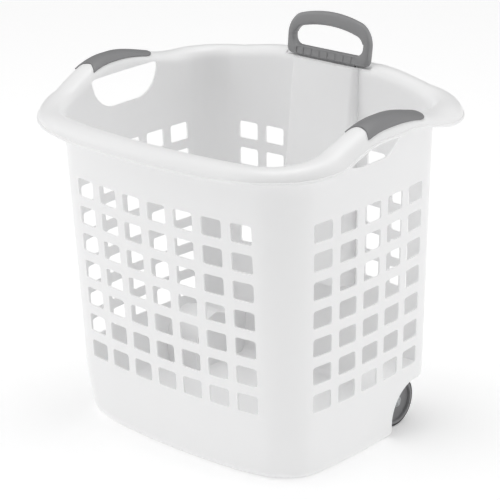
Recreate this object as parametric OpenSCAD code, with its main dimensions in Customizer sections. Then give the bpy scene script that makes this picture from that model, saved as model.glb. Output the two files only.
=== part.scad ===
// Wheeled laundry basket: one moulded perforated basket, two snap-on rim grips,
// a pull handle that slides in a leaning channel in the back wall, and two wheels.
// Millimetres. The origin is on the floor under the middle of the body,
// +X to the right, +Y to the back, where the pull handle is, +Z up.

/* [Body] */
// Width of the body at floor level
body_w = 452; // [360:1:540]
// Depth of the body at floor level
body_d = 348; // [290:1:410]
// Height of the rim's top at the middle of the front
front_h = 482; // [410:1:570]
// How much higher the rim is under the two grips
grip_rise = 42; // [37:1:47]
// How much higher the rim is at the back, beside the pull handle
back_rise = 34; // [25:1:45]
// Wall thickness
wall = 2.6; // [2.2:0.1:3.4]
// Outward lean of the walls in degrees
draft = 2; // [1:0.1:3]
// Radius of the front corners at floor level
front_corner_r = 46; // [36:1:60]
// Radius of the back corners at floor level
back_corner_r = 34; // [28:1:44]
// How far the rolled rim stands out from a wall
rim_out = 38; // [32:1:42]

/* [Hole grid] */
// Width of a hole as a share of the pitch
hole_share = 0.7; // [0.5:0.01:0.8]
// Height of a hole
hole_h = 28; // [20:1:32]
// Height of the bottom row's centre
bottom_row_z = 117; // [112:1:130]
// Distance from the top row's centre to the front rim's top
top_row_drop = 107; // [95:1:120]

/* [Hand holds and grips] */
// Width of the hand opening
hand_w = 140; // [115:1:150]
// Height of the hand opening
hand_h = 50; // [42:1:54]
// Length of a grip
grip_len = 133; // [115:1:140]
// Thickness of a grip over the rim
grip_t = 3; // [2:0.1:4]

/* [Pull handle] */
// Backward lean of the handle and its channel in degrees
lean = 8; // [6:0.5:10]
// Width of the handle's loop
loop_w = 158; // [140:1:164]
// Height of the loop at the middle
loop_h = 72; // [64:1:90]
// Depth of the loop's bars
loop_d = 13; // [11:0.5:16]
// Width of the flat stem
stem_w = 104; // [90:1:106]
// Thickness of the stem
stem_t = 5; // [4:0.5:6]
// How far the handle pulls up
travel = 240; // [180:1:260]

/* [Wheels] */
// Radius of a wheel over its tyre
wheel_r = 40; // [34:0.5:42]
// Width of a wheel
wheel_w = 23; // [18:0.5:26]
// Distance of the axles behind the middle
axle_y = 98; // [80:1:104]
// Radius of the steel axle pins
pin_r = 4; // [3:0.5:5]

/* [Hidden] */

half_w = body_w / 2;
half_d = body_d / 2;
lean_out = tan(draft);

// hole grid: seven columns in front, five on each side, two beside the channel at the back
pitch_x = body_w / 9.04;
pitch_y = body_d / 6.96;
rows = 7;
top_row_z = front_h - top_row_drop;
pitch_z = (top_row_z - bottom_row_z) / (rows - 1);
mid_z = (top_row_z + bottom_row_z) / 2;
spread = 0.00009;   // the columns fan out with height, as the walls do
hole_corner = 4;
side_shift = 2;

// the walls bow outward a little, less so towards the back
front_bow = 0.00038;
back_bow = 0.0003;
side_bow = 0.00045;
side_back_bow = 0.00034;

// base
floor_z = wall + 0.4;
base_fillet = 12;
tuck = 12;
tuck_h = 88;
tuck_zs = [36, 88];

// rim
rim_h = 22;
lip = 1.6;
rim_wall = 3;
crest_share = 0.42;   // the crest is nearer to the wall than to the lip
corner_lift = 5;
grip_mid = 1.5;
grip_round = 18;
grip_dip = 10;
arch_mid = -12;
back_lift = 19;
side_extra = 8;

// channel for the handle's stem
slot_gap = 0.8;
slot_w = stem_w + 2 * slot_gap + 3;
channel_w = slot_w + 11;
bulge_w = channel_w + 2 * wall;
ledge_z = front_h + back_rise - 6;
stem_y = half_d + lean_out * ledge_z + 1;
stem_len = travel + 75;
channel_len = stem_len + 22;
bulge_face = stem_t / 2 + 8;
clip_t = 2.6;
clip_h = 22;
rail = 3;
notch_w = loop_w + 8;

// wheels
axle_z = wheel_r;
wheel_out = half_w - 20;
bay_gap = 7;
bay_r = wheel_r + bay_gap;
bay_in = wheel_out - wheel_w - 22;
bay_roof = 76;
skirt_in = 8;
arch_y = axle_y + 16;
arch_z = 22;
arch_r = 53;
hub_gap = 0.05;
pin_start = bay_in + 1;
nut_t = 2;
side_gap = 0.5;
tyre_t = 4.5;

function bowed(x, y) = [x - x / half_w * (y > 0 ? side_back_bow : side_bow) * y * y,
                        y - y / half_d * (y > 0 ? back_bow : front_bow) * x * x];
function ramp(t) = let (c = min(1, max(0, t))) c * c * (3 - 2 * c);

// outline of the body at floor level, anticlockwise from the front left: [x, y, nx, ny]
front_x = [for (x = concat([half_w - front_corner_r], [for (k = [2.5:-1:0.5]) k * pitch_x])) x];
back_x = [for (x = concat([half_w - back_corner_r], [for (k = [2.5:-1:0.5]) k * pitch_x])) x];
side_y = [for (k = [-2.5:0.5:2]) if (k * pitch_y + side_shift > front_corner_r - half_d
          && k * pitch_y + side_shift < half_d - back_corner_r) k * pitch_y + side_shift];
side_ys = concat([front_corner_r - half_d], side_y, [half_d - back_corner_r]);

function mirrored(v) = [for (i = [len(v) - 1:-1:0]) -v[i]];
function backward(v) = [for (i = [len(v) - 1:-1:0]) v[i]];
function flat(x, y, nx, ny) = let (p = bowed(x, y)) [p[0], p[1], nx, ny];
function corner(sx, sy, r, from) = [for (a = [18:18:72])
    let (n = [cos(from + a), sin(from + a)],
         p = bowed(sx * (half_w - r) + r * n[0], sy * (half_d - r) + r * n[1]))
    [p[0], p[1], n[0], n[1]]];

outline = concat(
    [for (x = concat([for (v = front_x) -v], backward(front_x))) flat(x, -half_d, 0, -1)],
    corner(1, -1, front_corner_r, -90),
    [for (y = side_ys) flat(half_w, y, 1, 0)],
    corner(1, 1, back_corner_r, 0),
    [for (x = concat(back_x, mirrored(back_x))) flat(x, half_d, 0, 1)],
    corner(-1, 1, back_corner_r, 90),
    [for (y = backward(side_ys)) flat(-half_w, y, -1, 0)],
    corner(-1, -1, front_corner_r, 180));

// height of the rim's top and of its lip at an outline point
function side_share(p, mid, slope) = ramp((abs(p[0]) / half_w - 0.72) / 0.22)
    * ramp((0.42 * body_d - abs(p[1] - mid)) / (slope * body_d));
function back_share(p) = ramp((p[1] / half_d - 0.72) / 0.22)
    * ramp((0.5 * body_w - abs(p[0])) / (0.3 * body_w));
function back_base(p) = back_lift * ramp((p[1] / half_d + 1) / 2);
function top_z(p) = front_h + back_base(p) + (grip_rise - back_base(p)) * side_share(p, arch_mid, 0.4)
    + (back_rise - back_lift) * back_share(p);
function lip_z(p) = front_h - rim_h + corner_lift * ramp((abs(p[0]) / half_w - 0.5) / 0.45)
    + 0.7 * back_base(p)
    + (0.9 * grip_rise - corner_lift - 0.7 * back_base(p)) * side_share(p, 0, 0.32)
    + (back_rise - 10) * back_share(p);

function out_at(p) = rim_out + side_extra * p[2] * p[2]
    - 9 * abs(p[2] * p[3]) * (p[1] < 0 ? 1 : 0);

// a point of the shell: g outward from the floor outline's wall, z up
function shell_pt(p, g, z) = [p[0] + p[2] * (g + lean_out * z), p[1] + p[3] * (g + lean_out * z), z];
// the rolled rim's section: a from 0 at the lip, over the top, to 180 at the wall
function arch_pt(p, a, inset) =
    let (w = out_at(p) + wall, inner = crest_share * w, c = cos(a), s = max(0, sin(a)),
         reach = (c > 0 ? w - inner : inner) - inset,
         g = inner - wall + reach * sign(c) * pow(abs(c), 0.92),
         z = lip_z(p) + (top_z(p) - lip_z(p) - inset) * pow(s, c > 0 ? 0.95 : 0.8))
    shell_pt(p, g, z);

fillet_as = [0, 45, 90];
under_as = [180, 115, 0];
over_as = [22, 52, 82, 112, 142, 180];
// the bottom edge is rounded, and the corners tuck in towards the floor
function tuck_at(p, z) = tuck * pow(max(0, 1 - z / tuck_h), 1.7)
    * ramp((abs(p[0]) / half_w - 0.5) / 0.5) * ramp((abs(p[1]) / half_d - 0.5) / 0.5);
function tucked(p, g, z) = shell_pt(p, g - tuck_at(p, z), z);
function outer_ring(a) = [for (p = outline)
    tucked(p, -base_fillet * (1 - sin(a)), base_fillet * (1 - cos(a)))];
inner_fillet = base_fillet - wall;
function inner_ring(a) = [for (p = outline)
    tucked(p, -wall - inner_fillet * (1 - sin(a)), floor_z + inner_fillet * (1 - cos(a)))];
function side_rings(g) = [for (z = tuck_zs) [for (p = outline) tucked(p, g, z)]];
rings = concat(
    [for (a = fillet_as) outer_ring(a)],
    side_rings(0),
    [for (a = under_as) [for (p = outline) arch_pt(p, a, rim_wall)]],
    [[for (p = outline) shell_pt(p, out_at(p) + lip, lip_z(p) - lip)]],
    [[for (p = outline) shell_pt(p, out_at(p) + lip, lip_z(p) + lip)]],
    [for (a = over_as) [for (p = outline) arch_pt(p, a, 0)]],
    backward(side_rings(-wall)),
    [for (a = backward(fillet_as)) inner_ring(a)]);

function side_faces(n, last) = [for (k = [0:last - 1]) for (i = [0:n - 1]) let (j = (i + 1) % n)
    each [[k * n + i, (k + 1) * n + i, k * n + j],
          [k * n + j, (k + 1) * n + i, (k + 1) * n + j]]];

module skin(loops) {
    n = len(loops[0]);
    m = len(loops);
    last = m - 1;
    polyhedron(
        points = [for (r = loops) for (p = r) p],
        faces = concat(
            [[for (i = [0:n - 1]) i]],
            side_faces(n, last),
            [[for (i = [n - 1:-1:0]) last * n + i]]),
        convexity = 10);
}

module chamfered_square(w, h, c) {
    polygon([[-w / 2, c - h / 2], [c - w / 2, -h / 2], [w / 2 - c, -h / 2], [w / 2, c - h / 2],
             [w / 2, h / 2 - c], [w / 2 - c, h / 2], [c - w / 2, h / 2], [-w / 2, h / 2 - c]]);
}

// one wall's holes, drawn in x and z and pushed along +Y
module hole_grid(columns, pitch, row_list) {
    for (r = row_list) for (c = columns) {
        z = top_row_z - r * pitch_z;
        translate([c * pitch * (1 + spread * (z - mid_z)), 0, z])
            hull() {
                for (y = [-45, 45]) translate([0, y, 0]) rotate([90, 0, 0])
                    linear_extrude(1) chamfered_square(pitch * hole_share, hole_h, hole_corner / 1.7);
            }
    }
}

module all_holes() {
    every_row = [0:rows - 1];
    translate([0, -half_d, 0]) hole_grid([-3:3], pitch_x, every_row);
    for (s = [-1, 1]) translate([s * half_w, side_shift, 0]) rotate([0, 0, 90])
        hole_grid([-2:2], pitch_y, every_row);
    translate([0, half_d, 0]) hole_grid([-3, -2, 2, 3], pitch_x, [0:rows - 3]);
}

// D-shaped hand opening in y and z, its flat edge on top
module hand_shape() {
    top = front_h + 17;
    r = hand_h * 0.95;
    translate([-3, 0]) hull() {
        for (s = [-1, 1]) {
            translate([s * (hand_w / 2 - r), top - hand_h + r]) circle(r, $fn = 32);
            translate([s * (hand_w / 2 - 9), top - 9]) circle(9, $fn = 24);
        }
    }
}

module hand_openings() {
    for (s = [-1, 1]) translate([s * (half_w + 8), 0, 0]) rotate([90, 0, 90])
        linear_extrude(34, center = true) hand_shape();
}

// everything on the leaning channel is drawn upright about the stem and leaned once
module leaned() {
    translate([0, stem_y, ledge_z]) rotate([-lean, 0, 0]) children();
}

module channel_bulge() {
    intersection() {
        leaned() translate([-bulge_w / 2, -bulge_face - wall, -channel_len - wall])
            cube([bulge_w, 130, channel_len + wall + 3]);
        inside_body(ledge_z);
    }
}

module channel_hollow() {
    leaned() translate([-channel_w / 2, -bulge_face, -channel_len])
        cube([channel_w, 140, channel_len - 3]);
}

// two ribs on each side wall of the channel hold the stem's edges
module channel_rails() {
    reach = (channel_w - stem_w) / 2 + 4;
    for (s = [-1, 1]) leaned() {
        for (y = [stem_t / 2 + slot_gap, -stem_t / 2 - slot_gap - rail])
            translate([s * (channel_w - reach + 0.4) / 2 - reach / 2, y, -channel_len - 1])
                cube([reach, rail, channel_len - 3]);
    }
}

// flat ledge in the rim where the handle's loop rests
module ledge() {
    translate([-notch_w / 2 - 1, half_d - wall + lean_out * ledge_z, ledge_z - rim_wall])
        cube([notch_w + 2, rim_out, rim_wall]);
}

module ledge_cut() {
    translate([-notch_w / 2, half_d - 20, ledge_z]) cube([notch_w, 140, 60]);
}

module slot_cut() {
    leaned() translate([-slot_w / 2, -stem_t / 2 - slot_gap, -40])
        cube([slot_w, stem_t + 2 * slot_gap, 60]);
}

// room for a wheel behind the side wall, open to the back and the floor
module wheel_bay(s, grow) {
    long = half_w - skirt_in - bay_in + 6 * grow;
    translate([s * (bay_in - grow + long / 2), 0, 0]) {
        translate([0, axle_y, axle_z]) rotate([0, 90, 0])
            cylinder(r = bay_r + grow, h = long, center = true, $fn = 24);
        translate([-long / 2, axle_y, -20 - grow]) cube([long, half_d, bay_roof + 20 + 2 * grow]);
        translate([-long / 2, axle_y - bay_r - grow, -20]) cube([long, bay_r + grow, axle_z + 20]);
    }
}

// the opening in the side wall is smaller than the bay behind it
module wheel_arch(s) {
    translate([s * (half_w + 30), 0, 0]) {
        translate([0, arch_y, arch_z]) rotate([0, 90, 0])
            cylinder(r = arch_r, h = 2 * (30 + skirt_in + 1), center = true, $fn = 48);
        translate([-31 - skirt_in, arch_y, -20])
            cube([2 * (31 + skirt_in), half_d, arch_z + arch_r + 20]);
        translate([-31 - skirt_in, arch_y - arch_r, -20])
            cube([2 * (31 + skirt_in), arch_r + 1, arch_z + 20]);
    }
}

module inside_body(top) {
    skin(concat([for (a = fillet_as) outer_ring(a)], side_rings(-0.2),
                [[for (p = outline) shell_pt(p, -0.2, top)]]));
}

module wheel_housings() {
    intersection() {
        union() {
            for (s = [-1, 1]) wheel_bay(s, wall);
        }
        inside_body(bay_roof + bay_r);
    }
}

// blind holes in the bosses, so nothing reaches the laundry
module pin_holes() {
    for (s = [-1, 1]) translate([s * pin_start, axle_y, axle_z]) rotate([0, s * 90, 0])
        cylinder(r = pin_r + 0.05, h = 30, $fn = 24);
}

// a boss on each bay's inner wall carries the pin close to the wheel
module axle_bosses() {
    long = wheel_out - wheel_w - bay_in - side_gap + 1;
    for (s = [-1, 1]) translate([s * (bay_in - 1 + long / 2), axle_y, axle_z]) rotate([0, 90, 0])
        cylinder(r = pin_r + 5.5, h = long, center = true, $fn = 24);
}

// the cover lies on a flat seat around the channel and is held by four screws
cover_low = ledge_z - 345;
cover_top = ledge_z - 82;
cover_wide = channel_w + 36;
module on_back() {
    translate([0, half_d + lean_out * cover_low, cover_low]) rotate([-draft, 0, 0]) children();
}

module cover_seat() {
    on_back() translate([-cover_wide / 2 - 2, -5, -2])
        cube([cover_wide + 4, 5, cover_top - cover_low + 4]);
}

screw_r = 1.9;
screw_spots = [for (s = [-1, 1]) for (z = [ledge_z - 110, ledge_z - 290]) [s * (channel_w / 2 + 9), z]];

module basket() {
    color("white") difference() {
        union() {
            difference() {
                union() {
                    difference() {
                        skin(rings);
                        all_holes();
                        hand_openings();
                    }
                    channel_bulge();
                    cover_seat();
                    wheel_housings();
                }
                channel_hollow();
                ledge_cut();
                for (s = [-1, 1]) {
                    wheel_bay(s, 0);
                    wheel_arch(s);
                }
            }
            axle_bosses();
            channel_rails_inside();
            ledge();
        }
        slot_cut();
        pin_holes();
        grip_pockets();
        cover_holes();
    }
}

module channel_rails_inside() {
    intersection() {
        channel_rails();
        inside_body(ledge_z);
    }
    // the clip on the stem's end meets this rib at full travel
    leaned() translate([-channel_w / 2 + 16, -bulge_face - 1, travel - stem_len + clip_h + 0.4])
        cube([channel_w - 32, bulge_face - stem_t / 2, 6]);
}

module at_screws() {
    for (q = screw_spots) on_back() translate([q[0], wall, q[1] - cover_low]) rotate([90, 0, 0])
        children();
}

module cover_holes() {
    at_screws() cylinder(r = screw_r + 0.05, h = 60, center = true, $fn = 16);
}

// grips follow the rim's own section, a little proud of it
grip_in = 1;
grip_shares = [0:1 / 7:1.01];
grip_as = [34, 55, 77, 99, 121, 143];
grip_first = grip_as[0];
grip_last = grip_as[len(grip_as) - 1];

function side_point(y) = [bowed(half_w, y)[0], y, 1, 0];
// the front end is hollowed a little and the back end is round
function grip_y(a, share) =
    let (u = 2 * (a - grip_first) / (grip_last - grip_first) - 1,
         start = grip_mid - grip_len / 2 + grip_dip * (1 - u * u),
         end = grip_mid + grip_len / 2 - grip_round * (1 - sqrt(max(0, 1 - u * u))))
    start + share * (end - start);
function raised(a, share, out) =
    let (p = side_point(grip_y(a, share)), q = arch_pt(p, a, 0), m = arch_pt(p, 90, 20))
    q + out * (q - m) / norm(q - m);
function grip_loop(share, low, high) =
    concat([for (a = grip_as) raised(a, share, high)],
           [for (a = backward(grip_as)) raised(a, share, low)]);

// each end is closed by a strip from the outer edge to the inner one
module grip(low, high) {
    loops = [for (k = grip_shares) backward(grip_loop(k, low, high))];
    n = len(loops[0]);
    last = (len(loops) - 1) * n;
    polyhedron(
        points = [for (l = loops) for (p = l) p],
        faces = concat(
            [for (i = [0:n / 2 - 2]) each [[i, i + 1, n - 1 - i], [i + 1, n - 2 - i, n - 1 - i]]],
            side_faces(n, len(loops) - 1),
            [for (i = [0:n / 2 - 2]) each [[last + i, last + n - 1 - i, last + i + 1],
                [last + i + 1, last + n - 1 - i, last + n - 2 - i]]]),
        convexity = 4);
}

module grip_pockets() {
    for (s = [0, 1]) mirror([s, 0, 0]) grip(-grip_in - 0.1, 12);
}

module right_grip() {
    color("darkgray") grip(-grip_in, grip_t - grip_in);
}

module left_grip() {
    color("darkgray") mirror([1, 0, 0]) grip(-grip_in, grip_t - grip_in);
}

// the loop, drawn in x and z with its underside at z = 0
crown = loop_h * 0.22;
upright = 12;
bottom_bar = 15;
top_bar = 21;
loop_gap = 2;
function crown_r(w, rise) = (w * w / 4 + rise * rise) / (2 * rise);

module crowned(w, h, rise, r) {
    big = crown_r(w, rise);
    offset(r = r) offset(delta = -r) intersection() {
        translate([-w / 2, 0]) square([w, h]);
        translate([0, h - big]) circle(big, $fn = 160);
    }
}

module loop_shape() {
    difference() {
        union() {
            crowned(loop_w, loop_h, crown, 22);
            offset(r = 9) offset(delta = -9) translate([-loop_w / 2, 0]) square([loop_w, 50]);
        }
        translate([0, bottom_bar])
            crowned(loop_w - 2 * upright, loop_h - bottom_bar - top_bar, crown * 0.7, 12);
    }
}

module pull_handle() {
    color("gray") leaned() {
        translate([0, 0, loop_gap]) difference() {
            rotate([90, 0, 0]) linear_extrude(loop_d, center = true) loop_shape();
            // recess with ribs on the bottom bar's front
            translate([0, -loop_d / 2, bottom_bar / 2]) rotate([90, 0, 0])
                linear_extrude(3, center = true)
                    chamfered_square(loop_w - 44, bottom_bar - 6, 2);
        }
        for (k = [-3:3]) translate([k * 15.6 - 1, -loop_d / 2 + 0.4, loop_gap + 2.5])
            cube([2, 2, bottom_bar - 5]);
        translate([-stem_w / 2, -stem_t / 2, -stem_len]) cube([stem_w, stem_t, stem_len + 4]);
    }
}

module handle_stop() {
    color("gray") leaned() difference() {
        translate([-stem_w / 2 + 6, -stem_t / 2 - clip_t, -stem_len - clip_t])
            cube([stem_w - 12, stem_t + 2 * clip_t, clip_h + clip_t]);
        translate([-stem_w / 2, -stem_t / 2, -stem_len]) cube([stem_w, stem_t, 2 * clip_h]);
    }
}

// panel that closes the channel from behind, flush with the back wall
module channel_cover() {
    color("white") difference() {
        on_back() translate([-cover_wide / 2, 0, 0]) cube([cover_wide, wall, cover_top - cover_low]);
        cover_holes();
    }
}

module cover_screws() {
    color("silver") at_screws() {
        translate([0, 0, -2.4]) cylinder(r = 4, h = 2.4, $fn = 24);
        cylinder(r = screw_r, h = 9, $fn = 24);
    }
}

module wheel(s) {
    translate([s * (wheel_out - wheel_w / 2), axle_y, axle_z]) rotate([0, s * 90, 0])
        rotate_extrude($fn = 96) difference() {
            translate([pin_r + hub_gap, -wheel_w / 2]) square([wheel_r - tyre_t - pin_r - hub_gap, wheel_w]);
            translate([12, wheel_w / 2 - 5]) square([wheel_r - tyre_t - 18, 9]);
            translate([10, -wheel_w / 2 - 4]) square([wheel_r - tyre_t - 15, 16]);
        }
}

module tyre(s) {
    translate([s * (wheel_out - wheel_w / 2), axle_y, axle_z]) rotate([0, s * 90, 0])
        rotate_extrude($fn = 96) polygon([
            [wheel_r - tyre_t, -wheel_w / 2 + 1], [wheel_r - 1.5, -wheel_w / 2 + 1],
            [wheel_r, -wheel_w / 2 + 3], [wheel_r, wheel_w / 2 - 3],
            [wheel_r - 1.5, wheel_w / 2 - 1], [wheel_r - tyre_t, wheel_w / 2 - 1]]);
}

// the pin is pressed into the boss; the push nut on its outer end keeps the wheel on
module axle_pin(s) {
    color("silver") translate([s * pin_start, axle_y, axle_z]) rotate([0, s * 90, 0])
        cylinder(r = pin_r, h = wheel_out + side_gap + nut_t + 0.5 - pin_start, $fn = 32);
}

module push_nut(s) {
    color("silver") translate([s * (wheel_out + side_gap), axle_y, axle_z]) rotate([0, s * 90, 0])
        difference() {
            cylinder(r = pin_r + 4, h = nut_t, $fn = 32);
            translate([0, 0, -1]) cylinder(r = pin_r, h = nut_t + 2, $fn = 32);
        }
}

basket();
left_grip();
right_grip();
pull_handle();
handle_stop();
channel_cover();
cover_screws();
color("gray") wheel(-1);  // left_wheel
color("gray") wheel(1);  // right_wheel
color("dimgray") tyre(-1);  // left_tyre
color("dimgray") tyre(1);  // right_tyre
axle_pin(-1);  // left_axle_pin
axle_pin(1);  // right_axle_pin
push_nut(-1);  // left_push_nut
push_nut(1);  // right_push_nut
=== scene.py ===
from math import cos, hypot, pi, radians, sin, sqrt, tan

import bmesh
import bpy
from mathutils import Matrix, Vector


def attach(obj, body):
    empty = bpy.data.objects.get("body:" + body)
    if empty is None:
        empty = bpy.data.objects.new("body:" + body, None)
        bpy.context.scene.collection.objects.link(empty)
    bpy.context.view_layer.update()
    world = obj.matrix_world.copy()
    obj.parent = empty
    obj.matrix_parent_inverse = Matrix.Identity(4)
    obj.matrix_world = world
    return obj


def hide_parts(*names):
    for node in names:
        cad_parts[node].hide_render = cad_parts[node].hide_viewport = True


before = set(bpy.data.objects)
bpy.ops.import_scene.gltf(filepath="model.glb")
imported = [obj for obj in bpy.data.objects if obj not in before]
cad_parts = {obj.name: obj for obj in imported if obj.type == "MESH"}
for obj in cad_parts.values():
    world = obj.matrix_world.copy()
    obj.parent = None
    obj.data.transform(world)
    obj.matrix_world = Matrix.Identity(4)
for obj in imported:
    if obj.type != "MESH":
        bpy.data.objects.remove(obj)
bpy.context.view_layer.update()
MM = 0.001

# ---- sizes, in millimetres and degrees, the same as the CAD's ----
body_w, body_d = 452, 348
front_h, grip_rise, back_rise = 482, 42, 34
wall, draft = 2.6, 2
front_corner_r, back_corner_r = 46, 34
rim_out, side_extra = 38, 8
hole_share, hole_h, hole_corner = 0.7, 28, 4
bottom_row_z, top_row_drop, rows = 117, 107, 7
hand_w, hand_h, grip_len, grip_t = 140, 50, 133, 3
lean, loop_w, loop_h, loop_d = 8, 158, 72, 13
stem_w, stem_t, travel = 104, 5, 240
wheel_r, wheel_w, axle_y, pin_r = 40, 23, 98, 4

half_w, half_d = body_w / 2, body_d / 2
lean_out = tan(radians(draft))

# holes
pitch_x, pitch_y = body_w / 9.04, body_d / 6.96
top_row_z = front_h - top_row_drop
pitch_z = (top_row_z - bottom_row_z) / (rows - 1)
mid_z = (top_row_z + bottom_row_z) / 2
spread, side_shift = 0.00009, 2        # the columns fan out with height, as the walls do

# walls and floor
front_bow, back_bow, side_bow, side_back_bow = 0.00038, 0.0003, 0.00045, 0.00034
floor_z, base_fillet = wall + 0.4, 12
tuck, tuck_h = 12, 88                  # the lower corners draw in by tuck, up to tuck_h

# rim and grips
rim_h, lip, rim_wall, corner_lift, back_lift = 22, 1.6, 3, 5, 19
crest_share, arch_mid = 0.42, -12
grip_mid, grip_round, grip_dip, grip_in = 1.5, 18, 10, 1
grip_first, grip_last = 34, 143

# the handle's channel, its cover and the handle
slot_gap, rail, clip_t, clip_h = 0.8, 3, 2.6, 22
slot_w = stem_w + 2 * slot_gap + 3
channel_w = slot_w + 11
bulge_w = channel_w + 2 * wall
bulge_face = stem_t / 2 + 8
ledge_z = front_h + back_rise - 6
stem_y = half_d + lean_out * ledge_z + 1
stem_len = travel + 75
channel_len = stem_len + 22
notch_w = loop_w + 8
cover_low, cover_top, cover_w = ledge_z - 345, ledge_z - 82, channel_w + 36
screw_x, screw_drops, screw_r = channel_w / 2 + 9, (110, 290), 1.9
crown, upright, low_bar, top_bar, loop_gap = loop_h * 0.22, 12, 15, 21, 2
grip_rib_w, grip_rib_pitch = 1.8, 15.6

# wheels and their housings
axle_z = wheel_r
wheel_out = half_w - 20
bay_r = wheel_r + 7
bay_in = wheel_out - wheel_w - 22
bay_roof = 76
arch_y, arch_z, arch_r = axle_y + 16, 22, 53
tyre_t, hub_r, boss_r = 4.5, 10.2, pin_r + 5.5
web_in, web_out = 3.2, 6.6             # the faces of the wheel's disc, from its middle plane
pin_start, side_gap, nut_t = bay_in + 1, 0.5, 2

play = 0.05                            # round a pin or a screw
both = (-1, 1)                         # left and right
beyond = 60                            # how far a cutter reaches past what it cuts


def sign(v):
    return (v > 0) - (v < 0)


def ramp(t):
    """A smooth rise from 0 to 1 as t goes from 0 to 1."""
    c = min(1, max(0, t))
    return c * c * (3 - 2 * c)


def spaced(low, high, count):
    return [low + (high - low) * k / count for k in range(count + 1)]


def ordered(a, b):
    return min(a, b), max(a, b)


# ---- the shell's shape; a point p of the outline is (x, y, outward x, outward y) ----
def bowed(x, y):
    """The walls stand out most at their middles."""
    return (x - x / half_w * (side_back_bow if y > 0 else side_bow) * y * y,
            y - y / half_d * (back_bow if y > 0 else front_bow) * x * x)


def flat(x, y, nx, ny):
    return (*bowed(x, y), nx, ny)


def corner(sx, sy, r, start, steps=10):
    points = []
    for k in range(1, steps):
        a = radians(start + 90 * k / steps)
        n = (cos(a), sin(a))
        place = bowed(sx * (half_w - r) + r * n[0], sy * (half_d - r) + r * n[1])
        points.append((*place, *n))
    return points


def make_outline(along_front=30, along_side=26):
    front, back = half_w - front_corner_r, half_w - back_corner_r
    low, high = front_corner_r - half_d, half_d - back_corner_r
    return ([flat(x, -half_d, 0, -1) for x in spaced(-front, front, along_front)]
            + corner(1, -1, front_corner_r, -90)
            + [flat(half_w, y, 1, 0) for y in spaced(low, high, along_side)]
            + corner(1, 1, back_corner_r, 0)
            + [flat(x, half_d, 0, 1) for x in spaced(back, -back, along_front)]
            + corner(-1, 1, back_corner_r, 90)
            + [flat(-half_w, y, -1, 0) for y in spaced(high, low, along_side)]
            + corner(-1, -1, front_corner_r, 180))


outline = make_outline()


def side_share(p, mid, slope):
    """1 over the middle of a side wall, easing to 0 towards its corners."""
    return (ramp((abs(p[0]) / half_w - 0.72) / 0.22)
            * ramp((0.42 * body_d - abs(p[1] - mid)) / (slope * body_d)))


def back_share(p):
    """The same for the back wall."""
    return (ramp((p[1] / half_d - 0.72) / 0.22)
            * ramp((0.5 * body_w - abs(p[0])) / (0.3 * body_w)))


def back_base(p):
    return back_lift * ramp((p[1] / half_d + 1) / 2)


def top_z(p):
    """The height of the rim's crest."""
    return (front_h + back_base(p)
            + (grip_rise - back_base(p)) * side_share(p, arch_mid, 0.4)
            + (back_rise - back_lift) * back_share(p))


def lip_z(p):
    """The height of the rim's outer edge."""
    return (front_h - rim_h + corner_lift * ramp((abs(p[0]) / half_w - 0.5) / 0.45)
            + 0.7 * back_base(p)
            + (0.9 * grip_rise - corner_lift - 0.7 * back_base(p)) * side_share(p, 0, 0.32)
            + (back_rise - 10) * back_share(p))


def out_at(p):
    """How far the rim stands out from the wall: less round the front corners."""
    return rim_out + side_extra * p[2] ** 2 - (9 * abs(p[2] * p[3]) if p[1] < 0 else 0)


def shell_pt(p, g, z):
    """The point at height z that is g outside the wall's outer face."""
    return (p[0] + p[2] * (g + lean_out * z), p[1] + p[3] * (g + lean_out * z), z)


def tucked(p, g, z):
    pull = (tuck * max(0, 1 - z / tuck_h) ** 1.7 * ramp((abs(p[0]) / half_w - 0.5) / 0.5)
            * ramp((abs(p[1]) / half_d - 0.5) / 0.5))
    return shell_pt(p, g - pull, z)


def arch_pt(p, degrees, inset):
    """A point of the rolled rim: 0 degrees at its outer edge, 90 on its crest, 180 at the wall."""
    w = out_at(p) + wall
    c, s = cos(radians(degrees)), max(0, sin(radians(degrees)))
    inner = crest_share * w
    reach = (w - inner if c > 0 else inner) - inset
    g = inner - wall + reach * sign(c) * abs(c) ** 0.92
    rise = (top_z(p) - lip_z(p) - inset) * s ** (0.95 if c > 0 else 0.8)
    return shell_pt(p, g, lip_z(p) + rise)


def base_ring(g, floor, r, degrees):
    a = radians(degrees)
    return [tucked(p, g - r * (1 - sin(a)), floor + r * (1 - cos(a))) for p in outline]


def floor_rings(ring):
    """The same outline drawn in towards the middle."""
    return [[(x * f, y * f, z) for x, y, z in ring] for f in (0.75, 0.5, 0.25, 0.05)]


def side_rings(g, heights):
    return [[tucked(p, g, z) for p in outline] for z in heights]


def fillet_rings(inside):
    """The floor and the round edge between it and the walls, outside or inside."""
    angles = spaced(0, 90, 6)
    if inside:
        rings = [base_ring(-wall, floor_z, base_fillet - wall, a) for a in reversed(angles)]
        return rings + floor_rings(rings[-1])
    rings = [base_ring(0, 0, base_fillet, a) for a in angles]
    return floor_rings(rings[0])[::-1] + rings


def lip_ring(out, up):
    return [shell_pt(p, out_at(p) + out, lip_z(p) + up) for p in outline]


wall_zs = spaced(20, 100, 6) + spaced(130, 430, 8)


def shell_rings():
    """One closed section: floor, outer wall, under the rim, its bead, over the rim, inner wall."""
    bead = [(-1.2, -lip), (lip * 0.8, -0.6), (lip, 0.2), (lip, 2.2), (lip * 0.6, 3.0), (-0.3, 3.4)]
    rings = fillet_rings(False) + side_rings(0, wall_zs)
    rings += [[arch_pt(p, a, rim_wall) for p in outline] for a in spaced(180, 0, 14)]
    rings += [lip_ring(out, up) for out, up in bead]
    rings += [[arch_pt(p, a, 0) for p in outline] for a in spaced(16, 180, 20)]
    rings += side_rings(-wall, reversed(wall_zs)) + fillet_rings(True)
    return rings


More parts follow.
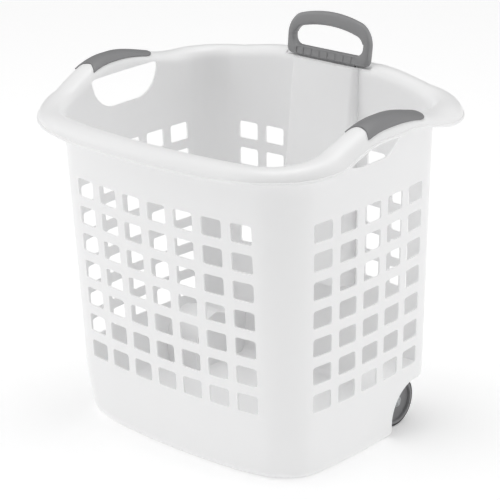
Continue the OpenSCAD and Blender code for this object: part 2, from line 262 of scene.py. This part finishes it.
# ---- mesh helpers ----
def new_piece(name, points, faces, smooth=30):
    """A mesh object from points in millimetres; edges sharper than smooth degrees stay sharp."""
    mesh = bpy.data.meshes.new(name)
    mesh.from_pydata([Vector(p) * MM for p in points], [], faces)
    mesh.validate()
    piece = bpy.data.objects.new(name, mesh)
    bpy.context.scene.collection.objects.link(piece)
    turn_faces_out(piece)
    shade(piece, smooth)
    return piece


def turn_faces_out(piece):
    bm = bmesh.new()
    bm.from_mesh(piece.data)
    bmesh.ops.recalc_face_normals(bm, faces=bm.faces)
    bm.to_mesh(piece.data)
    bm.free()


def shade(piece, degrees):
    for poly in piece.data.polygons:
        poly.use_smooth = True
    piece.data.set_sharp_from_angle(angle=radians(degrees))


def loft(name, loops, smooth=30, closed=False):
    """A skin over rings of points, closed at both ends by caps or into a torus."""
    n, m = len(loops[0]), len(loops)
    faces = []
    for k in range(m if closed else m - 1):
        for i in range(n):
            j, up = (i + 1) % n, (k + 1) % m
            faces.append((k * n + i, k * n + j, up * n + j, up * n + i))
    if not closed:
        faces.append(tuple(range(n)))
        faces.append(tuple(range((m - 1) * n, m * n)))
    return new_piece(name, [p for loop in loops for p in loop], faces, smooth)


def extruded(name, points, low, high, place):
    """A flat outline pushed from low to high; place turns (u, v, t) into a point."""
    return loft(name, [[place(u, v, t) for u, v in points] for t in (low, high)])


def lathe(name, profile, steps, place, smooth=35):
    """A closed profile of (radius, along) turned round an axis; place is as in extruded."""
    loops = []
    for k in range(steps):
        a = 2 * pi * k / steps
        loops.append([place(r * cos(a), r * sin(a), t) for r, t in profile])
    return loft(name, loops, smooth, closed=True)


def rounded(w, h, r, steps=4):
    """A rectangle with round corners, about its middle."""
    points = []
    for sx, sy, start in [(1, 1, 0), (-1, 1, 90), (-1, -1, 180), (1, -1, 270)]:
        for k in range(steps + 1):
            a = radians(start + 90 * k / steps)
            points.append((sx * (w / 2 - r) + r * cos(a), sy * (h / 2 - r) + r * sin(a)))
    return points


def circle(u, v, r, steps):
    return [(u + r * cos(2 * pi * k / steps), v + r * sin(2 * pi * k / steps))
            for k in range(steps)]


def bar(name, degrees, start, end, half_t, low, high, place):
    """A straight bar from one radius to another, with its sides half_t from its middle."""
    c, s = cos(radians(degrees)), sin(radians(degrees))
    points = [(r * c - side * half_t * s, r * s + side * half_t * c)
              for r, side in ((start, 1), (start, -1), (end, -1), (end, 1))]
    return extruded(name, points, low, high, place)


def joined(name, pieces):
    points, faces = [], []
    for piece in pieces:
        start = len(points)
        points += [v.co / MM for v in piece.data.vertices]
        faces += [tuple(i + start for i in poly.vertices) for poly in piece.data.polygons]
        bpy.data.objects.remove(piece)
    return new_piece(name, points, faces)


def combine(piece, others, how):
    """Joins others to piece, or cuts them from it or keeps what they share."""
    for other in others:
        step = piece.modifiers.new(how, "BOOLEAN")
        step.operation, step.solver, step.object = how, "MANIFOLD", other
        apply_modifiers(piece)
        bpy.data.objects.remove(other)
    return piece


def apply_modifiers(piece):
    bpy.context.view_layer.update()
    shown = piece.evaluated_get(bpy.context.evaluated_depsgraph_get())
    mesh = bpy.data.meshes.new_from_object(shown)
    piece.modifiers.clear()
    old, piece.data = piece.data, mesh
    bpy.data.meshes.remove(old)


def bevelled(piece, width, segments=2, degrees=35):
    """Rounds the edges that turn by more than degrees."""
    step = piece.modifiers.new("bevel", "BEVEL")
    step.width, step.segments, step.angle_limit = width * MM, segments, radians(degrees)
    step.limit_method, step.harden_normals = "ANGLE", False
    apply_modifiers(piece)
    shade(piece, 40)
    return piece


# ---- where outlines are put ----
def through_x(u, v, t):
    """An outline drawn in y and z, at x = t."""
    return (t, u, v)


def leaned(x, y, z):
    """A point drawn upright about the stem, leaned back with the channel."""
    a = radians(lean)
    return (x, stem_y + y * cos(a) + z * sin(a), ledge_z - y * sin(a) + z * cos(a))


def on_low_bar(u, v, t):
    """A point on the pull handle's lower bar, from the bar's middle."""
    return leaned(u, t, v + loop_gap + low_bar / 2 - 0.3)


def on_cover(u, v, t):
    """A point on the channel's cover: v up along the back wall, t out of it."""
    a = radians(draft)
    return (u, half_d + lean_out * cover_low + t * cos(a) + v * sin(a),
            cover_low - t * sin(a) + v * cos(a))


def leaned_block(name, x0, x1, y0, y1, z0, z1, r=0.0):
    if r:
        points = [(u + (x0 + x1) / 2, v + (y0 + y1) / 2) for u, v in rounded(x1 - x0, y1 - y0, r)]
    else:
        points = [(x0, y0), (x1, y0), (x1, y1), (x0, y1)]
    return extruded(name, points, z0, z1, leaned)


def block(name, x0, x1, y0, y1, z0, z1):
    points = [(x0, y0), (x1, y0), (x1, y1), (x0, y1)]
    return extruded(name, points, z0, z1, lambda u, v, t: (u, v, t))


def cover_panel(name, w, low, high, y0, y1, r=3):
    points = [(u, v + (low + high) / 2) for u, v in rounded(w, high - low, r)]
    return extruded(name, points, y0, y1, on_cover)


def axle_rod(name, x0, x1, r):
    return extruded(name, circle(axle_y, axle_z, r, 48), x0, x1, through_x)


# ---- basket ----
def wall_holes():
    pieces, reach = [], 45

    def grid(columns, pitch, row_count, place):
        for r in range(row_count):
            z = top_row_z - r * pitch_z
            for c in columns:
                mid = c * pitch * (1 + spread * (z - mid_z))
                points = [(mid + u, z + v)
                          for u, v in rounded(pitch * hole_share, hole_h, hole_corner)]
                pieces.append(extruded("hole", points, -reach, reach, place))

    grid(range(-3, 4), pitch_x, rows, lambda u, v, t: (u, t - half_d, v))
    grid((-3, -2, 2, 3), pitch_x, rows - 2, lambda u, v, t: (u, t + half_d, v))
    for s in both:
        grid(range(-2, 3), pitch_y, rows,
             lambda u, v, t, s=s: (s * half_w + t, u + side_shift, v))
    return joined("holes", pieces)


def hand_outline(steps=12):
    """The D-shaped opening in y and z, its flat edge on top."""
    top, mid, r, small = front_h + 17, -3, hand_h * 0.95, 9
    points = []
    for s, z, radius, start in [(1, top - small, small, 0), (-1, top - small, small, 90),
                                (-1, top - hand_h + r, r, 180), (1, top - hand_h + r, r, 270)]:
        y = s * (hand_w / 2 - radius) + mid
        for k in range(steps + 1):
            a = radians(start + 90 * k / steps)
            points.append((y + radius * cos(a), z + radius * sin(a)))
    return hull_of(points)


def hull_of(points):
    """The convex outline round some points, anticlockwise."""
    points = sorted(set((round(x, 4), round(y, 4)) for x, y in points))

    def turns_left(a, b, c):
        return (b[0] - a[0]) * (c[1] - a[1]) - (b[1] - a[1]) * (c[0] - a[0]) > 0

    def half(run):
        out = []
        for p in run:
            while len(out) > 1 and not turns_left(out[-2], out[-1], p):
                out.pop()
            out.append(p)
        return out[:-1]

    return half(points) + half(points[::-1])


def body_solid(top):
    """The space inside the walls' outer face, up to top."""
    heights = [z for z in wall_zs if z < top - 5] + [top]
    return loft("body", fillet_rings(False) + side_rings(-0.2, heights))


def wheel_arch(s):
    """The opening in the side wall, smaller than the bay behind it."""
    low = -20
    points = [(arch_y - arch_r, low)]
    points += [(arch_y + arch_r * cos(radians(a)), arch_z + arch_r * sin(radians(a)))
               for a in range(180, 89, -5)]
    points += [(axle_y + half_d, arch_z + arch_r), (axle_y + half_d, low)]
    return extruded("arch", points, *ordered(s * (half_w - 9), s * (half_w + beyond)), through_x)


def bay(s, grow):
    """Room for a wheel behind the side wall, open to the back and the floor."""
    ends = ordered(s * (bay_in - grow), s * (half_w - 8 + 5 * grow))
    r, roof, low = bay_r + grow, bay_roof + grow, -20 - grow
    edge = sqrt(max(0, r * r - (roof - axle_z) ** 2))
    points = [(axle_y - r, low), (axle_y - r, axle_z)]
    for k in range(1, 16):
        a = radians(180 - 6 * k)
        points.append((axle_y + r * cos(a), axle_z + r * sin(a)))
    points = [p for p in points if p[1] <= roof or p[0] < axle_y + edge]
    points += [(axle_y, axle_z + r), (axle_y + edge, roof),
               (axle_y + half_d, roof), (axle_y + half_d, low)]
    return extruded("bay", points, *ends, through_x)


def hand_cutter(s):
    middle, reach = s * (half_w + 8), 17
    return extruded("hand", hand_outline(), middle - reach, middle + reach, through_x)


def channel_rails():
    """Two rails on each side, in front of the stem and behind it."""
    reach = (channel_w - stem_w) / 2 + 4
    rails = []
    for s in both:
        for y in (stem_t / 2 + slot_gap, -stem_t / 2 - slot_gap - rail):
            x0, x1 = ordered(s * (channel_w / 2 - reach), s * (channel_w / 2 + 0.2))
            piece = leaned_block("rail", x0, x1, y, y + rail, -channel_len - 1, -4)
            rails.append(combine(piece, [body_solid(ledge_z)], "INTERSECT"))
    return rails


def basket():
    past_back, bulge_r, pocket_gap = 117, 9, 0.35
    piece = loft("basket_shell", shell_rings())
    combine(piece, [wall_holes()] + [hand_cutter(s) for s in both], "DIFFERENCE")

    bulge = leaned_block("bulge", -bulge_w / 2, bulge_w / 2, -bulge_face - wall, past_back,
                         -channel_len - wall, 3, bulge_r)
    combine(bulge, [body_solid(ledge_z)], "INTERSECT")
    seat = cover_panel("seat", channel_w + 40, -2, cover_top - cover_low + 2, -5, 0)
    housings = [combine(bay(s, wall), [body_solid(bay_roof + bay_r)], "INTERSECT") for s in both]
    combine(piece, [bulge, seat] + housings, "UNION")

    hollow = leaned_block("hollow", -channel_w / 2, channel_w / 2, -bulge_face, past_back + 6,
                          -channel_len, -3, bulge_r / 2)
    notch = block("notch", -notch_w / 2, notch_w / 2, half_d - 20, half_d + 2 * beyond,
                  ledge_z, ledge_z + beyond)
    cutters = [hollow, notch] + [bay(s, 0) for s in both] + [wheel_arch(s) for s in both]
    combine(piece, cutters, "DIFFERENCE")

    bosses = [axle_rod("boss", s * (bay_in - 1), s * (wheel_out - wheel_w - side_gap), boss_r)
              for s in both]
    edge = half_d - wall + lean_out * ledge_z
    ledge = block("ledge", -notch_w / 2 - 1, notch_w / 2 + 1, edge, edge + rim_out,
                  ledge_z - rim_wall, ledge_z)
    stop_low = travel - stem_len + clip_h + 0.4
    stop = leaned_block("stop", -channel_w / 2 + 16, channel_w / 2 - 16, -bulge_face - 1,
                        -stem_t / 2 - 1, stop_low, stop_low + 6)
    combine(piece, bosses + [ledge] + channel_rails() + [stop], "UNION")

    slot = leaned_block("slot", -slot_w / 2, slot_w / 2, -stem_t / 2 - slot_gap,
                        stem_t / 2 + slot_gap, -40, 20)
    pins = [axle_rod("pin_hole", s * pin_start, s * (pin_start + 30), pin_r + play)
            for s in both]
    pockets = [grip_mesh("pocket", s, -grip_in - 0.2, 12, pocket_gap) for s in both]
    combine(piece, [slot] + pins + pockets, "DIFFERENCE")
    piece.name = "basket_moulding"
    shade(piece, 32)
    return piece


# ---- grips ----
def grip_mesh(name, s, low, high, gap=0.0):
    """A grip over the right or left rim; its front end is hollowed, its back end is round."""
    first, last = grip_first - gap, grip_last + gap
    rows_y, steps = 26, 22
    surface = {}
    for j, share in enumerate(spaced(0, 1, steps)):      # 0 at the outer edge, 1 at the inner
        off_mid = 2 * share - 1
        corner_in = 2.5 * (1 - sqrt(1 - max(0, abs(off_mid) - 0.9) ** 2 * 100))
        start = -grip_len / 2 + grip_dip * (1 - off_mid ** 2) + corner_in - gap
        end = grip_len / 2 - grip_round * (1 - sqrt(max(0, 1 - off_mid ** 2))) + gap
        for i, along in enumerate(spaced(start, end, rows_y)):
            y = grip_mid + along
            p = (bowed(half_w, y)[0], y, 1, 0)
            on_rim = Vector(arch_pt(p, first + (last - first) * share, 0))
            out = (on_rim - Vector(arch_pt(p, 90, 20))).normalized()
            surface[i, j] = (on_rim + out * low, on_rim + out * high)
    loops = []
    for i in range(rows_y + 1):
        ring = ([surface[i, j][1] for j in range(steps + 1)]
                + [surface[i, j][0] for j in range(steps, -1, -1)])
        loops.append([Vector((s * v.x, v.y, v.z)) for v in ring])
    return loft(name, loops, 35)


def grip(side, s):
    return bevelled(grip_mesh(side + "_grip_pad", s, -grip_in, grip_t - grip_in), 0.9, 3, 50)


# ---- pull handle ----
def inside_loop(w, h, rise, r_top, r_low, u, v):
    """How far (u, v) is inside an arched shape, negative outside. Its underside is at v = 0."""
    big = (w * w / 4 + rise * rise) / (2 * rise)
    r = r_top if v > h / 2 else r_low
    edges = [w / 2 - abs(u), big - hypot(u, v - h + big) if v > h / 2 else v]
    short = [max(0, r - e) for e in edges]
    if min(edges) < 0:
        return -1
    return r - hypot(*short) if short[0] and short[1] else min(edges)


def loop_edge(shape, middle, direction):
    """Where a ray from the middle leaves the shape."""
    low, high = 0, 200
    for _ in range(40):
        mid = (low + high) / 2
        u, v = middle[0] + mid * direction[0], middle[1] + mid * direction[1]
        low, high = (mid, high) if inside_loop(*shape, u, v) > 0 else (low, mid)
    return middle[0] + low * direction[0], middle[1] + low * direction[1]


def squared(v):
    """Makes a circle's sine or cosine into that of a rounded square."""
    return sign(v) * abs(v) ** 0.55


def handle_loop(around=144, across=24):
    """A ring of rounded sections between the loop's outer edge and its hand opening."""
    open_h = loop_h - low_bar - top_bar
    outer = (loop_w, loop_h, crown, 22, 9)
    inner = (loop_w - 2 * upright, open_h, crown * 0.7, 13, 13)
    mid_v = open_h * 0.5
    loops = []
    for k in range(around):
        a = 2 * pi * k / around
        # rays spread by the shape's proportions, so both outlines get even points
        d = (cos(a) * loop_w, sin(a) * loop_h)
        d = (d[0] / hypot(*d), d[1] / hypot(*d))
        iu, iv = loop_edge(inner, (0, mid_v), d)
        iv += low_bar
        ou, ov = loop_edge(outer, (0, mid_v + low_bar), d)
        section = []
        for q in range(across):
            b = 2 * pi * q / across
            c, t = squared(cos(b)), squared(sin(b))
            u = (iu + ou) / 2 + (ou - iu) / 2 * c
            v = (iv + ov) / 2 + (ov - iv) / 2 * c
            section.append(leaned(u, loop_d / 2 * t, v + loop_gap))
        loops.append(section)
    return loft("pull_handle_loop", loops, 40, closed=True)


def pull_handle():
    piece = handle_loop()
    face = -loop_d / 2
    recess = extruded("recess", rounded(loop_w - 38, low_bar - 4, 4), face - 2, face + 1.1,
                      on_low_bar)
    combine(piece, [recess], "DIFFERENCE")
    ribs = [extruded("rib", rounded(grip_rib_w, low_bar - 5, 0.8), face + 0.3, face + 2.6,
                     lambda u, v, t, k=k: on_low_bar(k * grip_rib_pitch + u, v, t))
            for k in range(-3, 4)]
    stem = leaned_block("stem", -stem_w / 2, stem_w / 2, -stem_t / 2, stem_t / 2, -stem_len, 5)
    bevelled(stem, 0.8)
    combine(piece, ribs + [stem], "UNION")
    shade(piece, 38)
    return piece


def handle_stop():
    outer_y = stem_t / 2 + clip_t
    clip = leaned_block("handle_stop_clip", -stem_w / 2 + 6, stem_w / 2 - 6, -outer_y, outer_y,
                        -stem_len - clip_t, -stem_len + clip_h)
    room = leaned_block("room", -stem_w / 2, stem_w / 2, -stem_t / 2, stem_t / 2,
                        -stem_len, -stem_len + 2 * clip_h)
    combine(clip, [room], "DIFFERENCE")
    return bevelled(clip, 0.5)


# ---- the channel's cover ----
def screw_spots():
    return [(s * screw_x, ledge_z - drop - cover_low) for s in both for drop in screw_drops]


def channel_cover():
    length, first, half_groove = cover_top - cover_low, 30, 1.5
    piece = cover_panel("channel_cover_panel", cover_w, 0, length, 0, wall, 6)
    grooves = [cover_panel("groove", channel_w - 24, up - half_groove, up + half_groove,
                           wall - 0.7, wall + 2, 1.4)
               for up in spaced(first, length - first, 8)]
    combine(piece, grooves, "DIFFERENCE")
    holes = [extruded("hole", circle(x, up, screw_r + play, 16), -20, 20, on_cover)
             for x, up in screw_spots()]
    combine(piece, holes, "DIFFERENCE")
    return bevelled(piece, 0.5)


def cover_screws():
    """Dome-headed screws with a cross recess; t runs into the wall from the cover's face."""
    profile = [(0.01, 9), (1.7, 9), (screw_r, 8), (screw_r, 0), (4, 0), (4, -1.2), (3.4, -2.0),
               (2.2, -2.4), (0.01, -2.4)]
    cross_l, cross_w = 4.4, 1
    pieces, slots = [], []
    for x, up in screw_spots():
        pieces.append(lathe("screw", profile, 24,
                            lambda u, v, t: on_cover(x + u, up + v, wall - t)))
    piece = joined("cover_screw_set", pieces)
    for x, up in screw_spots():
        for w, h in ((cross_l, cross_w), (cross_w, cross_l)):
            points = [(x + sx * w / 2, up + sy * h / 2)
                      for sx, sy in ((-1, -1), (1, -1), (1, 1), (-1, 1))]
            slots.append(extruded("cross", points, wall + 1.4, wall + 4, on_cover))
    combine(piece, slots, "DIFFERENCE")
    shade(piece, 35)
    return piece


# ---- wheels ----
def along_axle(s, start):
    """Puts a turned piece on an axle, with t measured outwards from start."""
    return lambda u, v, t: (s * (start + t), axle_y + u, axle_z + v)


def wheel(side, s):
    """A disc with a hub and a band; t is 0 in the wheel's middle plane."""
    rim, half, bore = wheel_r - tyre_t, wheel_w / 2, pin_r + play
    band = rim - 5
    profile = [(bore, -half), (hub_r - 0.7, -half), (hub_r, -half + 0.8), (hub_r, web_in - 1),
               (hub_r + 1.8, web_in), (band - 1, web_in), (band, web_in - 1), (band, -half + 1),
               (band + 0.8, -half), (rim - 0.6, -half), (rim, -half + 0.6), (rim, half - 0.6),
               (rim - 0.6, half), (band + 1.4, half), (band + 0.6, half - 0.8),
               (band, web_out + 0.8), (band - 2, web_out), (hub_r + 2.8, web_out),
               (hub_r + 1.4, web_out + 0.8), (hub_r + 1, half - 0.8), (hub_r + 0.2, half),
               (bore, half)]
    place = along_axle(s, wheel_out - half)
    piece = lathe(side + "_wheel_disc", profile, 96, place, 40)
    spokes = [bar("spoke", 30 + 60 * k, 10, 31, 1.1, -half + 3, 4, place) for k in range(6)]
    combine(piece, spokes, "UNION")
    shade(piece, 40)
    return piece


def tyre(side, s):
    """A band with round shoulders and a groove round its middle."""
    rim, half, shoulder = wheel_r - tyre_t, wheel_w / 2, 3
    rounding = [radians(a) for a in spaced(0, 90, 8)]
    profile = [(rim, -half + 1)]
    profile += [(wheel_r - shoulder + shoulder * sin(a), -half + 4 - shoulder * cos(a))
                for a in rounding]
    profile += [(wheel_r, -1.2), (wheel_r - 0.8, -0.6), (wheel_r - 0.8, 0.6), (wheel_r, 1.2)]
    profile += [(wheel_r - shoulder + shoulder * cos(a), half - 4 + shoulder * sin(a))
                for a in rounding]
    profile.append((rim, half - 1))
    return lathe(side + "_tyre_band", profile, 96, along_axle(s, wheel_out - half), 40)


def axle_pin(side, s):
    """A pin pressed into the basket's boss; its outer end carries the push nut."""
    long = wheel_out + side_gap + nut_t + 0.5 - pin_start
    profile = [(0.01, 0), (pin_r - 0.8, 0), (pin_r, 1), (pin_r, long - 1.2),
               (pin_r - 0.5, long - 0.4), (pin_r - 1.5, long), (0.01, long)]
    return lathe(side + "_axle_pin_turned", profile, 48, along_axle(s, pin_start), 40)


def push_nut(side, s):
    """A pressed washer whose three tongues grip the pin."""
    profile = [(pin_r, 1.2), (pin_r, 1.6), (pin_r + 0.7, nut_t), (pin_r + 2.0, 1.7),
               (pin_r + 3.0, 0.8), (pin_r + 4, 0.6), (pin_r + 4, 0), (pin_r + 2.4, 0)]
    place = along_axle(s, wheel_out + side_gap)
    piece = lathe(side + "_push_nut_pressed", profile, 48, place, 40)
    slits = [bar("slit", 120 * k, 3, 6.5, 0.4, -1, 4, place) for k in range(3)]
    combine(piece, slits, "DIFFERENCE")
    shade(piece, 40)
    return piece


# ---- materials ----
def map_range(nodes, from_min, from_max, to_min, to_max):
    node = nodes.new("ShaderNodeMapRange")
    for socket, value in (("From Min", from_min), ("From Max", from_max),
                          ("To Min", to_min), ("To Max", to_max)):
        node.inputs[socket].default_value = value
    return node


def noise(nodes, links, place, scale, detail):
    node = nodes.new("ShaderNodeTexNoise")
    node.inputs["Scale"].default_value = scale
    node.inputs["Detail"].default_value = detail
    links.new(place.outputs["Object"], node.inputs["Vector"])
    return node


def plastic(name, colour, rough, grain=900, bump=0.02, vary=0.03):
    """Moulded plastic: a fine grain in the surface, and colour and gloss that vary a little."""
    m = bpy.data.materials.new(name)
    m.use_nodes = True
    nodes, links = m.node_tree.nodes, m.node_tree.links
    shader = nodes["Principled BSDF"]
    place = nodes.new("ShaderNodeTexCoord")
    fine = noise(nodes, links, place, grain, 3)
    broad = noise(nodes, links, place, 14, 4)
    tint = nodes.new("ShaderNodeMix")
    tint.data_type = "RGBA"
    tint.inputs["A"].default_value = (*[c * (1 - vary) for c in colour], 1)
    tint.inputs["B"].default_value = (*[min(1, c * (1 + vary)) for c in colour], 1)
    links.new(broad.outputs["Fac"], tint.inputs["Factor"])
    links.new(tint.outputs["Result"], shader.inputs["Base Color"])
    gloss = map_range(nodes, 0, 1, rough - 0.05, rough + 0.05)
    links.new(broad.outputs["Fac"], gloss.inputs["Value"])
    links.new(gloss.outputs["Result"], shader.inputs["Roughness"])
    relief = nodes.new("ShaderNodeBump")
    relief.inputs["Strength"].default_value = bump * 10
    relief.inputs["Distance"].default_value = 0.00005
    links.new(fine.outputs["Fac"], relief.inputs["Height"])
    links.new(relief.outputs["Normal"], shader.inputs["Normal"])
    return m


def steel(name):
    m = plastic(name, (0.40, 0.41, 0.42), 0.36, grain=400, bump=0.01)
    m.node_tree.nodes["Principled BSDF"].inputs["Metallic"].default_value = 1
    return m


white = plastic("white_polypropylene", (0.96, 0.96, 0.962), 0.34, bump=0.01, vary=0.008)
grip_grey = plastic("grip_rubber", (0.25, 0.25, 0.255), 0.46, grain=1400, bump=0.05)
handle_grey = plastic("handle_plastic", (0.27, 0.27, 0.275), 0.38, grain=1200, bump=0.03)
wheel_grey = plastic("wheel_plastic", (0.20, 0.20, 0.205), 0.40)
tyre_black = plastic("tyre_rubber", (0.035, 0.035, 0.036), 0.62, grain=1500, bump=0.06)
metal = steel("zinc_steel")


def place_piece(piece, body, node, material):
    piece.data.materials.clear()
    piece.data.materials.append(material)
    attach(piece, body)
    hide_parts(node)


place_piece(basket(), "body", "basket", white)
place_piece(channel_cover(), "body", "channel_cover", white)
place_piece(cover_screws(), "body", "cover_screws", metal)
place_piece(pull_handle(), "handle", "pull_handle", handle_grey)
place_piece(handle_stop(), "handle", "handle_stop", handle_grey)
for side, s in (("left", -1), ("right", 1)):
    turning = side + "_wheel"
    place_piece(grip(side, s), "body", side + "_grip", grip_grey)
    place_piece(wheel(side, s), turning, side + "_wheel", wheel_grey)
    place_piece(tyre(side, s), turning, side + "_tyre", tyre_black)
    place_piece(axle_pin(side, s), "body", side + "_axle_pin", metal)
    place_piece(push_nut(side, s), "body", side + "_push_nut", metal)


# ---- stage, light and camera, in metres ----
def stage():
    """A pale floor that gives off a little light, so that it is as bright as the background."""
    floor_material = bpy.data.materials.new("pale_floor")
    floor_material.use_nodes = True
    shader = floor_material.node_tree.nodes["Principled BSDF"]
    shader.inputs["Base Color"].default_value = (0.97, 0.97, 0.97, 1)
    shader.inputs["Roughness"].default_value = 0.9
    shader.inputs["Emission Color"].default_value = (1, 1, 1, 1)
    shader.inputs["Emission Strength"].default_value = 0.22
    mesh = bpy.data.meshes.new("floor")
    size, low = 12, -0.0004
    corners = [(-size, -size, low), (size, -size, low), (size, size, low), (-size, size, low)]
    mesh.from_pydata(corners, [], [(0, 1, 2, 3)])
    floor = bpy.data.objects.new("floor", mesh)
    bpy.context.scene.collection.objects.link(floor)
    mesh.materials.append(floor_material)


def lamp(name, place, size, watts):
    """A round soft lamp that faces the middle of the object."""
    data = bpy.data.lights.new(name, "AREA")
    data.shape, data.size, data.energy = "DISK", size, watts
    lamp_object = bpy.data.objects.new(name, data)
    bpy.context.scene.collection.objects.link(lamp_object)
    lamp_object.location = place
    aim = Vector((0, 0, 0.25)) - Vector(place)
    lamp_object.rotation_euler = aim.to_track_quat("-Z", "Y").to_euler()


def studio():
    """White all round, darker towards the front right and the back left, with weak soft lamps."""
    world = bpy.data.worlds.new("studio")
    bpy.context.scene.world = world
    world.use_nodes = True
    nodes, links = world.node_tree.nodes, world.node_tree.links
    place, facing = nodes.new("ShaderNodeTexCoord"), nodes.new("ShaderNodeVectorMath")
    facing.operation = "DOT_PRODUCT"
    facing.inputs[1].default_value = (0.66, -0.74, -0.1)
    links.new(place.outputs["Generated"], facing.inputs[0])
    both_ways = nodes.new("ShaderNodeMath")
    both_ways.operation = "ABSOLUTE"
    links.new(facing.outputs["Value"], both_ways.inputs[0])
    dark_ends = map_range(nodes, 0.35, 1.0, 1.08, 0.05)
    dark_ends.interpolation_type = "SMOOTHSTEP"
    links.new(both_ways.outputs["Value"], dark_ends.inputs["Value"])
    # the light from above is a little weaker than the white walls round the studio
    height = nodes.new("ShaderNodeSeparateXYZ")
    links.new(place.outputs["Generated"], height.inputs[0])
    zenith = map_range(nodes, 0.25, 0.9, 1.0, 0.78)
    links.new(height.outputs["Z"], zenith.inputs["Value"])
    product = nodes.new("ShaderNodeMath")
    product.operation = "MULTIPLY"
    links.new(dark_ends.outputs["Result"], product.inputs[0])
    links.new(zenith.outputs["Result"], product.inputs[1])
    links.new(product.outputs["Value"], nodes["Background"].inputs["Strength"])
    nodes["Background"].inputs["Color"].default_value = (1, 1, 1, 1)
    lamp("overhead", (-0.1, 0.2, 2.6), 1.2, 9)
    lamp("left", (-2.8, -1.6, 1.9), 1.6, 6)
    lamp("right", (2.6, 2.0, 1.9), 1.6, 2)


def camera():
    """In front of the object on its right, looking down on it."""
    place = Vector((1.9084, -2.0810, 1.3416))
    yaw, pitch, roll = radians(42.43), radians(20.91), radians(-1.51)
    forward = Vector((-sin(yaw) * cos(pitch), cos(yaw) * cos(pitch), -sin(pitch)))
    level = Vector((cos(yaw), sin(yaw), 0))
    upward = level.cross(forward)
    right = level * cos(roll) + upward * sin(roll)
    up = upward * cos(roll) - level * sin(roll)
    data = bpy.data.cameras.new("camera")
    data.sensor_width, data.lens = 36, 146.5344
    view = bpy.data.objects.new("camera", data)
    bpy.context.scene.collection.objects.link(view)
    view.matrix_world = Matrix((
        (right.x, up.x, -forward.x, place.x),
        (right.y, up.y, -forward.y, place.y),
        (right.z, up.z, -forward.z, place.z),
        (0, 0, 0, 1)))
    bpy.context.scene.camera = view


stage()
studio()
camera()
bpy.context.scene.view_settings.view_transform = "Standard"
